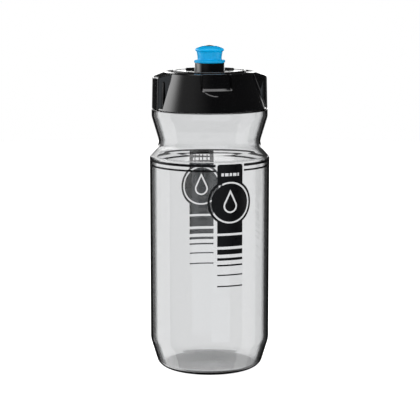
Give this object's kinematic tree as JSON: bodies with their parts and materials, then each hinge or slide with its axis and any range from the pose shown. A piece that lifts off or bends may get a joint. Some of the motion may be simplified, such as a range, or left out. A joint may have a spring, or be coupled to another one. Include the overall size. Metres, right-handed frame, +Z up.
{
  "type": "bicycle water bottle",
  "caption": "Clear squeeze bottle with a waist for a bicycle cage, a lugged black screw cap and a blue push-pull nozzle.",
  "frame": {"origin": "on the bottle's axis, in the plane that its foot ring stands on", "axes": "+Z up along the bottle's axis to the nozzle; -Y is the front, where the printed strip faces; +X to the right seen from the front"},
  "size_m": [0.074, 0.074, 0.2007],
  "materials": {
    "clear_bottle": "clear, lightly smoked polyethylene or polypropylene, glossy",
    "black_cap": "black, semi-gloss moulding",
    "gasket_rubber": "soft black silicone",
    "black_valve": "black, glossy",
    "blue_nozzle": "light blue, satin, slightly translucent",
    "printed_ink": "black screen-printed ink on the bottle"
  },
  "bodies": {
    "bottle": {"bottle_body": "clear_bottle"},
    "gasket": {"cap_seal": "gasket_rubber"},
    "cap": {"cap_shell": "black_cap", "valve_core": "black_valve"},
    "mouthpiece": {"nozzle": "blue_nozzle", "nozzle_seal": "gasket_rubber"}
  },
  "joints": [
    {"name": "cap_lift", "type": "slide", "parent": "bottle", "child": "gasket", "axis": [0, 0, 1], "range_m": [0, 0.015]},
    {"name": "cap_turn", "type": "hinge", "parent": "gasket", "child": "cap", "pos_m": [0, 0, 0.17], "axis": [0, 0, 1], "range_deg": [0, 1080]},
    {"name": "nozzle_pull", "type": "slide", "parent": "cap", "child": "mouthpiece", "axis": [0, 0, 1], "range_m": [0, 0.006]}
  ],
  "couplings": [
    {"joint": "cap_lift", "follows": "cap_turn", "m_per_rad": 0.00079577}
  ]
}
